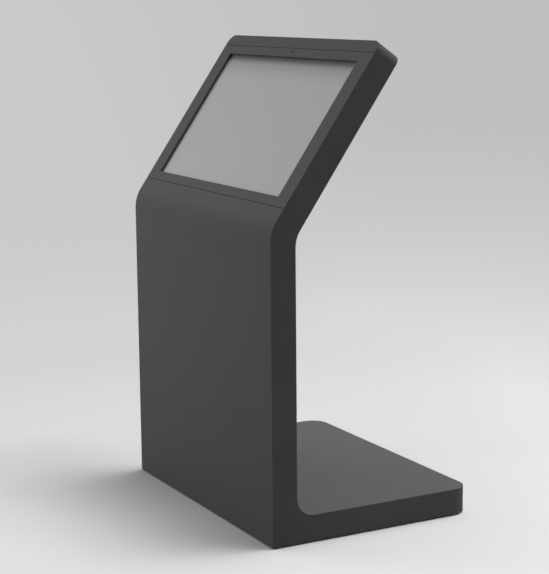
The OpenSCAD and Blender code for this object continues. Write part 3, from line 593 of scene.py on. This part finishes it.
def equipment_plugs():
    """A plug where each lead enters the computer or the power supply."""
    lead_plug("mains_plug", "mains_cable",
        (23, 17, 3, -0.5), (26, 20, 4, 0.5), (26, 20, 4, 19), (20, 16, 5, 23), (13, 13, 5, 25))
    lead_plug("network_plug", "network_cable",
        (12, 8, 0.8, -0.5), (12, 8, 0.8, 14), (10, 9, 2, 16), (9, 9, 3, 17))
    lead_plug("display_plug", "display_cable",
        (30, 10, 1.5, -0.5), (30, 10, 1.5, 4), (38, 14, 3, 4.3), (38, 14, 3, 21), (18, 12, 4, 27),
        (10, 10, 4, 29))
    lead_plug("touch_plug", "touch_cable",
        (12, 4.5, 0.5, -0.5), (12, 4.5, 0.5, 3), (15, 8, 1.5, 3.2), (15, 8, 1.5, 20), (9, 8, 3, 23))
    thumbs = Fitting("display_plug_screws", screw_zinc, "fasteners")
    for aside in (-0.015, 0.015):
        thumbs.loft(lead_end("display_cable") + Vector((aside, 0, 0)), upwards, (circle(1.4), 20),
            (circle(1.4), 23), (knurled(2.6), 23.2), (knurled(2.9), 23.8), (knurled(2.9), 31),
            (knurled(2.5), 31.6), (circle(1.2), 31.8))
    thumbs.fitted()


def lead_clips():
    """Saddle clips that hold the leads to the equipment tray, with their screws."""
    clips = Fitting("lead_clips", black_plastic, "black_plastic")
    screws = Fitting("lead_clip_screws", screw_zinc, "fasteners")
    wall, clearance, ear, half_length = 1.6, 0.2, 11, 5
    for lead, (_, radius, clip_height) in leads.items():
        end = lead_end(lead)
        inner = radius + clearance
        outer, foot = inner + wall, radius + ear
        centre = (end.y - tray_face) * 1000
        outline = ([(foot, 0), (foot, wall), (outer, wall)] + half_circle(outer, centre)
            + [(-outer, wall), (-foot, wall), (-foot, 0), (-inner, 0)]
            + half_circle(inner, centre)[::-1] + [(inner, 0)])
        place = Vector((end.x, tray_face, clip_height))
        clips.loft(place, upwards, (outline, -half_length), (outline, half_length))
        for aside in (-(outer + foot) / 2, (outer + foot) / 2):
            screws.screw(place + Vector((aside, wall, 0)) / 1000, rearwards, 2.0,
                (2.6, 2.0), (3.0, 1.5), (3.0, 0.0), (1.4, -0.1), (1.4, -1.5))
    clips.fitted()
    screws.fitted()


def mounting_lugs():
    """Screwed lugs that hold the computer and the power supply to the tray."""
    lugs = Fitting("mounting_lugs", inner_zinc, "inner_steel")
    screws = Fitting("mounting_lug_screws", screw_zinc, "fasteners")
    outwards, inset, thickness = 0.007, 0.03, 0.0015
    for node in ("computer", "power_supply"):
        low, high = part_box(node)
        for x in (low.x - outwards, high.x + outwards):
            for z in (low.z + inset, high.z - inset):
                lugs.loft((x, low.y, z), rearwards, (rounded(19, 15, 4.5), 0), (rounded(19, 15, 4.5), 1.3),
                    (rounded(18.6, 14.6, 4.3), 1.5))
                screws.screw((x, low.y + thickness, z), rearwards, 2.5,
                    (3.2, 2.4), (3.7, 1.8), (3.7, 0.0), (1.9, -0.1), (1.9, -1.4))
    lugs.fitted()
    screws.fitted()


cover_screws()
camera_lens()
equipment_plugs()
lead_clips()
mounting_lugs()


# Studio: a wide pale floor that fades into the backdrop, and soft light. The backdrop is a little
# darker on one side of the kiosk.
light_backdrop, dark_backdrop = 0.59, 0.517
darker_side, lighter_front = Vector((0.474, 0.881, 0)), Vector((0.881, -0.474, 0))


def on_darker_side(nodes, direction):
    return nodes.ramp(nodes.dot(direction, darker_side), (-0.15, 0.0), (0.1, 1.0))


def seen_directly(nodes):
    """1 for what the camera sees, also mirrored or through glass, and 0 for light that falls on things."""
    seen = nodes.node("LightPath", output="Is Camera Ray")
    for kind in ("Is Glossy Ray", "Is Transmission Ray"):
        seen = seen.maths("MAXIMUM", seen, nodes.node("LightPath", output=kind))
    return seen


def pale_floor(size):
    """Near the kiosk a floor that takes its shadow, with painted shade and painted light graded into its
    colour, and farther off a glow that ends in the backdrop.
    """
    f = Finish("pale_studio_floor")
    # Painted shadow: a darker patch on the floor in front of the kiosk and to its left.
    painted_shadow_patch = f.ramp(f.distance((-0.62, -0.58, 0)), (0.0, 1.0), (0.15, 0.8), (0.35, 0.0))
    # Painted light: the floor just in front of the kiosk is made lighter, which softens its shadow there.
    painted_light_patch = f.ramp(f.distance((0.05, -0.5, 0)), (0.0, 1.0), (0.15, 0.8), (0.3, 0.4), (0.5, 0.0))
    # The floor's colour is graded across it by two ramps: painted shade and painted light, which reshape the
    # shadow that the floor takes.
    pale = (f.ramp(f.dot(f.place, darker_side),
            (-1.0, 0.747), (-0.5, 0.776), (0.35, 0.828), (0.6, 0.857), (0.8, 0.897))
        * f.ramp(f.dot(f.place, lighter_front),
            (-1.9, 0.835), (-1.2, 0.87), (-0.4, 0.87), (-0.1, 0.915), (0.2, 0.955), (0.5, 0.97))
        * (1 - painted_shadow_patch * 0.1) * (1 + painted_light_patch * 0.15))
    # Painted shade: in front of the kiosk the floor's colour for light that falls on things is darker, which
    # darkens the kiosk's lower front.
    bounce_with_painted_shade = f.ramp(f.dot(f.place, rearwards), (-0.4, 0.14), (-0.15, 0.38))
    from_kiosk = f.distance((0, 0, 0))
    direction = f.node("VectorMath", {"operation": "NORMALIZE"}, {0: f.place})
    glow = f.mixed(on_darker_side(f, direction),
        f.ramp(from_kiosk, (2.1, 0.66), (3.0, 0.635), (3.45, 0.619), (4.65, 0.599), (7.5, 0.585),
            (15, light_backdrop)),
        f.ramp(from_kiosk, (1.95, 0.72), (2.85, 0.685), (3.3, 0.656), (4.5, 0.614), (6.15, 0.576),
            (8.4, 0.548), (12, 0.526), (15, dark_backdrop)))
    near = f.layer(
        Base_Color=f.mixed(seen_directly(f), bounce_with_painted_shade, pale),
        Roughness=1.0,
        Specular_IOR_Level=0.0)
    far = f.layer(
        Base_Color=(0, 0, 0, 1),
        Roughness=1.0,
        Specular_IOR_Level=0.0,
        Emission_Color=glow,
        Emission_Strength=1.0)
    fade = f.ramp(from_kiosk, (1.35, 0.0), (2.7, 1.0))
    f.shown(f.node("MixShader", {}, {0: fade * seen_directly(f), 1: near, 2: far}))
    mesh = bpy.data.meshes.new("studio_floor")
    build = bmesh.new()
    bmesh.ops.create_circle(build, cap_ends=True, segments=64, radius=size)
    build.to_mesh(mesh)
    build.free()
    mesh.materials.append(f.material)
    floor = bpy.data.objects.new("studio_floor", mesh)
    scene.collection.objects.link(floor)


def soft_light():
    """Four wide soft lights, drawn into the world: front left, above left, and two above and behind."""
    scene.world = bpy.data.worlds.new("soft_studio_light")
    sky = Nodes(scene.world, "Generated")
    light = 0.0
    for towards, width, strength in (
            ((-0.707, -0.707, 0), 3, 0.5), ((-0.342, 0, 0.940), 8, 1.1),
            ((0.12, 0.492, 0.862), 20, 2.9), ((0.08, 0.373, 0.924), 20, 6.4)):
        facing = sky.dot(sky.place, towards)
        light = facing.maths("MAXIMUM", facing, 0.0) ** width * strength + light
    light = light * (1 - sky.node("LightPath", output="Is Camera Ray"))
    backdrop = on_darker_side(sky, sky.place) * (dark_backdrop - light_backdrop) + light_backdrop
    shader = sky.node("Background", {}, {
        "Color": (1, 1, 1, 1),
        "Strength": light.maths("MAXIMUM", light, seen_directly(sky) * backdrop)})
    sky.node("OutputWorld", {}, {"Surface": shader})


def side_lamp(place, aim, size, spread, power):
    """A soft box at the left, near enough that the front fades a little towards the right."""
    lamp = bpy.data.objects.new("left_soft_box", bpy.data.lights.new("left_soft_box", "AREA"))
    lamp.data.size = size
    lamp.data.spread = math.radians(spread)
    lamp.data.energy = power
    lamp.location = place
    lamp.rotation_euler = (Vector(place) - Vector(aim)).to_track_quat("Z", "Y").to_euler()
    scene.collection.objects.link(lamp)


pale_floor(size=2000)
soft_light()
side_lamp((-2.12, -2.42, 1.0), (0, -0.3, 0.6), size=1.6, spread=70, power=5.4)
scene.view_settings.view_transform = "Standard"
